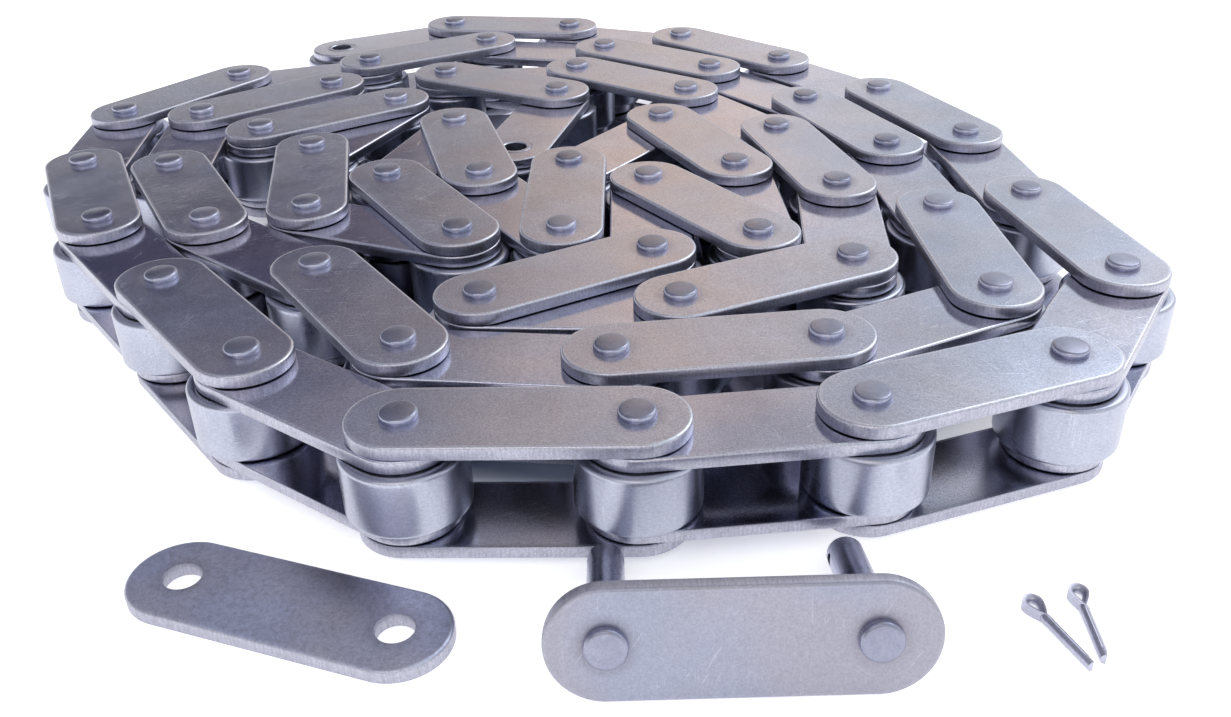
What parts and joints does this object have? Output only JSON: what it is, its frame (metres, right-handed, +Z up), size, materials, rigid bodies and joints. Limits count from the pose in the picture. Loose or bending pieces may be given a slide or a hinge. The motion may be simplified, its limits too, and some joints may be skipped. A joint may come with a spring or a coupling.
{
  "type": "double-pitch conveyor chain",
  "caption": "Double-pitch conveyor chain with large rollers, coiled flat, with a loose connecting link, cover plate and cotter pins.",
  "frame": {"origin": "on the floor under the middle of the whole set, coil and loose connecting link together", "axes": "+Z up along the chain pins, -Y towards the loose connecting link, +X to the right of it"},
  "size_m": [0.334, 0.3812, 0.0327],
  "materials": {
    "link_plates": "tumbled satin stainless steel",
    "pins": "satin stainless steel, riveted heads slightly darker",
    "bushes": "satin stainless steel",
    "rollers": "turned satin stainless steel",
    "cotter_pins": "drawn stainless wire"
  },
  "bodies": {
    "coil": {"coil_inner_plates_lower": "link_plates", "coil_inner_plates_upper": "link_plates", "coil_bushes": "bushes", "coil_outer_plates_lower": "link_plates", "coil_outer_plates_upper": "link_plates", "coil_pins": "pins", "coil_rollers": "rollers"},
    "inner_link_01": {"inner_link_01_plates": "link_plates", "inner_link_01_bushes": "bushes"},
    "outer_link_01": {"outer_link_01_plates": "link_plates", "outer_link_01_pins": "pins"},
    "inner_link_02": {"inner_link_02_plates": "link_plates", "inner_link_02_bushes": "bushes"},
    "outer_link_02": {"outer_link_02_plates": "link_plates", "outer_link_02_pins": "pins"},
    "inner_link_03": {"inner_link_03_plates": "link_plates", "inner_link_03_bushes": "bushes"},
    "outer_link_03": {"outer_link_03_plates": "link_plates", "outer_link_03_pins": "pins"},
    "inner_link_04": {"inner_link_04_plates": "link_plates", "inner_link_04_bushes": "bushes"},
    "outer_link_04": {"outer_link_04_plates": "link_plates", "outer_link_04_pins": "pins"},
    "inner_link_05": {"inner_link_05_plates": "link_plates", "inner_link_05_bushes": "bushes"},
    "outer_link_05": {"outer_link_05_plates": "link_plates", "outer_link_05_pins": "pins"},
    "connecting_link": {"connecting_plate": "link_plates", "connecting_pins": "pins"},
    "cover_plate": {"cover_plate": "link_plates"},
    "cotter_pin_1": {"cotter_pin_1": "cotter_pins"},
    "cotter_pin_2": {"cotter_pin_2": "cotter_pins"},
    "roller_01": {"roller_01": "rollers"},
    "roller_02": {"roller_02": "rollers"},
    "roller_03": {"roller_03": "rollers"},
    "roller_04": {"roller_04": "rollers"},
    "roller_05": {"roller_05": "rollers"},
    "roller_06": {"roller_06": "rollers"},
    "roller_07": {"roller_07": "rollers"},
    "roller_08": {"roller_08": "rollers"},
    "roller_09": {"roller_09": "rollers"},
    "roller_10": {"roller_10": "rollers"},
    "roller_11": {"roller_11": "rollers"},
    "roller_12": {"roller_12": "rollers"},
    "roller_13": {"roller_13": "rollers"},
    "roller_14": {"roller_14": "rollers"},
    "roller_15": {"roller_15": "rollers"},
    "roller_16": {"roller_16": "rollers"},
    "roller_17": {"roller_17": "rollers"},
    "roller_18": {"roller_18": "rollers"},
    "roller_19": {"roller_19": "rollers"},
    "roller_20": {"roller_20": "rollers"},
    "roller_21": {"roller_21": "rollers"},
    "roller_22": {"roller_22": "rollers"},
    "roller_23": {"roller_23": "rollers"},
    "roller_24": {"roller_24": "rollers"},
    "roller_25": {"roller_25": "rollers"},
    "roller_26": {"roller_26": "rollers"},
    "roller_27": {"roller_27": "rollers"},
    "roller_28": {"roller_28": "rollers"}
  },
  "joints": [
    {"name": "link_hinge_10", "type": "hinge", "parent": "coil", "child": "outer_link_05", "pos_m": [0.07676, -0.13437, 0.01635], "axis": [0, 0, -1], "range_deg": [0, 34]},
    {"name": "link_hinge_09", "type": "hinge", "parent": "outer_link_05", "child": "inner_link_05", "pos_m": [0.12477, -0.11776, 0.01635], "axis": [0, 0, -1], "range_deg": [0, 57]},
    {"name": "link_hinge_08", "type": "hinge", "parent": "inner_link_05", "child": "outer_link_04", "pos_m": [0.15275, -0.07536, 0.01635], "axis": [0, 0, -1], "range_deg": [0, 64]},
    {"name": "link_hinge_07", "type": "hinge", "parent": "outer_link_04", "child": "inner_link_04", "pos_m": [0.14336, -0.02544, 0.01635], "axis": [0, 0, -1], "range_deg": [0, 14]},
    {"name": "link_hinge_06", "type": "hinge", "parent": "inner_link_04", "child": "outer_link_03", "pos_m": [0.13912, 0.02519, 0.01635], "axis": [0, 0, -1], "range_deg": [0, 37]},
    {"name": "link_hinge_05", "type": "hinge", "parent": "outer_link_03", "child": "inner_link_03", "pos_m": [0.11987, 0.0722, 0.01635], "axis": [0, 0, -1], "range_deg": [0, 35]},
    {"name": "link_hinge_04", "type": "hinge", "parent": "inner_link_03", "child": "outer_link_02", "pos_m": [0.08892, 0.11248, 0.01635], "axis": [0, 0, -1], "range_deg": [0, 28]},
    {"name": "link_hinge_03", "type": "hinge", "parent": "outer_link_02", "child": "inner_link_02", "pos_m": [0.05271, 0.14811, 0.01635], "axis": [0, 0, -1], "range_deg": [0, 42]},
    {"name": "link_hinge_02", "type": "hinge", "parent": "inner_link_02", "child": "outer_link_01", "pos_m": [0.00582, 0.16765, 0.01635], "axis": [0, 0, -1], "range_deg": [0, 33]},
    {"name": "link_hinge_01", "type": "hinge", "parent": "outer_link_01", "child": "inner_link_01", "pos_m": [-0.04424, 0.17632, 0.01635], "axis": [0, 0, -1], "range_deg": [-3, 160]},
    {"name": "connecting_link_slide", "type": "slide", "parent": "coil", "child": "connecting_link", "axis": [0, -1, 0], "range_m": [0, 0.06]},
    {"name": "cover_plate_slide", "type": "slide", "parent": "coil", "child": "cover_plate", "axis": [0, -1, 0], "range_m": [0, 0.06]},
    {"name": "cotter_pin_1_slide", "type": "slide", "parent": "coil", "child": "cotter_pin_1", "axis": [0, -1, 0], "range_m": [0, 0.06]},
    {"name": "cotter_pin_2_slide", "type": "slide", "parent": "coil", "child": "cotter_pin_2", "axis": [0, -1, 0], "range_m": [0, 0.06]},
    {"name": "roller_01_spin", "type": "hinge", "parent": "inner_link_01", "child": "roller_01", "pos_m": [-0.09038, 0.15507, 0.01635], "axis": [0, 0, 1], "continuous": true},
    {"name": "roller_02_spin", "type": "hinge", "parent": "inner_link_01", "child": "roller_02", "pos_m": [-0.04424, 0.17632, 0.01635], "axis": [0, 0, 1], "continuous": true},
    {"name": "roller_03_spin", "type": "hinge", "parent": "inner_link_02", "child": "roller_03", "pos_m": [0.00582, 0.16765, 0.01635], "axis": [0, 0, 1], "continuous": true},
    {"name": "roller_04_spin", "type": "hinge", "parent": "inner_link_02", "child": "roller_04", "pos_m": [0.05271, 0.14811, 0.01635], "axis": [0, 0, 1], "continuous": true},
    {"name": "roller_05_spin", "type": "hinge", "parent": "inner_link_03", "child": "roller_05", "pos_m": [0.08892, 0.11248, 0.01635], "axis": [0, 0, 1], "continuous": true},
    {"name": "roller_06_spin", "type": "hinge", "parent": "inner_link_03", "child": "roller_06", "pos_m": [0.11987, 0.0722, 0.01635], "axis": [0, 0, 1], "continuous": true},
    {"name": "roller_07_spin", "type": "hinge", "parent": "inner_link_04", "child": "roller_07", "pos_m": [0.13912, 0.02519, 0.01635], "axis": [0, 0, 1], "continuous": true},
    {"name": "roller_08_spin", "type": "hinge", "parent": "inner_link_04", "child": "roller_08", "pos_m": [0.14336, -0.02544, 0.01635], "axis": [0, 0, 1], "continuous": true},
    {"name": "roller_09_spin", "type": "hinge", "parent": "inner_link_05", "child": "roller_09", "pos_m": [0.15275, -0.07536, 0.01635], "axis": [0, 0, 1], "continuous": true},
    {"name": "roller_10_spin", "type": "hinge", "parent": "inner_link_05", "child": "roller_10", "pos_m": [0.12477, -0.11776, 0.01635], "axis": [0, 0, 1], "continuous": true},
    {"name": "roller_11_spin", "type": "hinge", "parent": "coil", "child": "roller_11", "pos_m": [0.07676, -0.13437, 0.01635], "axis": [0, 0, 1], "continuous": true},
    {"name": "roller_12_spin", "type": "hinge", "parent": "coil", "child": "roller_12", "pos_m": [0.02616, -0.13883, 0.01635], "axis": [0, 0, 1], "continuous": true},
    {"name": "roller_13_spin", "type": "hinge", "parent": "coil", "child": "roller_13", "pos_m": [-0.02462, -0.13712, 0.01635], "axis": [0, 0, 1], "continuous": true},
    {"name": "roller_14_spin", "type": "hinge", "parent": "coil", "child": "roller_14", "pos_m": [-0.06551, -0.10698, 0.01635], "axis": [0, 0, 1], "continuous": true},
    {"name": "roller_15_spin", "type": "hinge", "parent": "coil", "child": "roller_15", "pos_m": [-0.09682, -0.06698, 0.01635], "axis": [0, 0, 1], "continuous": true},
    {"name": "roller_16_spin", "type": "hinge", "parent": "coil", "child": "roller_16", "pos_m": [-0.12793, -0.02681, 0.01635], "axis": [0, 0, 1], "continuous": true},
    {"name": "roller_17_spin", "type": "hinge", "parent": "coil", "child": "roller_17", "pos_m": [-0.14903, 0.01939, 0.01635], "axis": [0, 0, 1], "continuous": true},
    {"name": "roller_18_spin", "type": "hinge", "parent": "coil", "child": "roller_18", "pos_m": [-0.15275, 0.07006, 0.01635], "axis": [0, 0, 1], "continuous": true},
    {"name": "roller_19_spin", "type": "hinge", "parent": "coil", "child": "roller_19", "pos_m": [-0.12172, 0.11028, 0.01635], "axis": [0, 0, 1], "continuous": true},
    {"name": "roller_20_spin", "type": "hinge", "parent": "coil", "child": "roller_20", "pos_m": [-0.07308, 0.12491, 0.01635], "axis": [0, 0, 1], "continuous": true},
    {"name": "roller_21_spin", "type": "hinge", "parent": "coil", "child": "roller_21", "pos_m": [-0.02817, 0.14865, 0.01635], "axis": [0, 0, 1], "continuous": true},
    {"name": "roller_22_spin", "type": "hinge", "parent": "coil", "child": "roller_22", "pos_m": [0.02086, 0.13533, 0.01635], "axis": [0, 0, 1], "continuous": true},
    {"name": "roller_23_spin", "type": "hinge", "parent": "coil", "child": "roller_23", "pos_m": [0.06116, 0.10441, 0.01635], "axis": [0, 0, 1], "continuous": true},
    {"name": "roller_24_spin", "type": "hinge", "parent": "coil", "child": "roller_24", "pos_m": [0.09209, 0.06411, 0.01635], "axis": [0, 0, 1], "continuous": true},
    {"name": "roller_25_spin", "type": "hinge", "parent": "coil", "child": "roller_25", "pos_m": [0.11139, 0.01712, 0.01635], "axis": [0, 0, 1], "continuous": true},
    {"name": "roller_26_spin", "type": "hinge", "parent": "coil", "child": "roller_26", "pos_m": [0.11563, -0.0335, 0.01635], "axis": [0, 0, 1], "continuous": true},
    {"name": "roller_27_spin", "type": "hinge", "parent": "coil", "child": "roller_27", "pos_m": [0.11754, -0.08427, 0.01635], "axis": [0, 0, 1], "continuous": true},
    {"name": "roller_28_spin", "type": "hinge", "parent": "coil", "child": "roller_28", "pos_m": [0.07161, -0.10596, 0.01635], "axis": [0, 0, 1], "continuous": true}
  ]
}
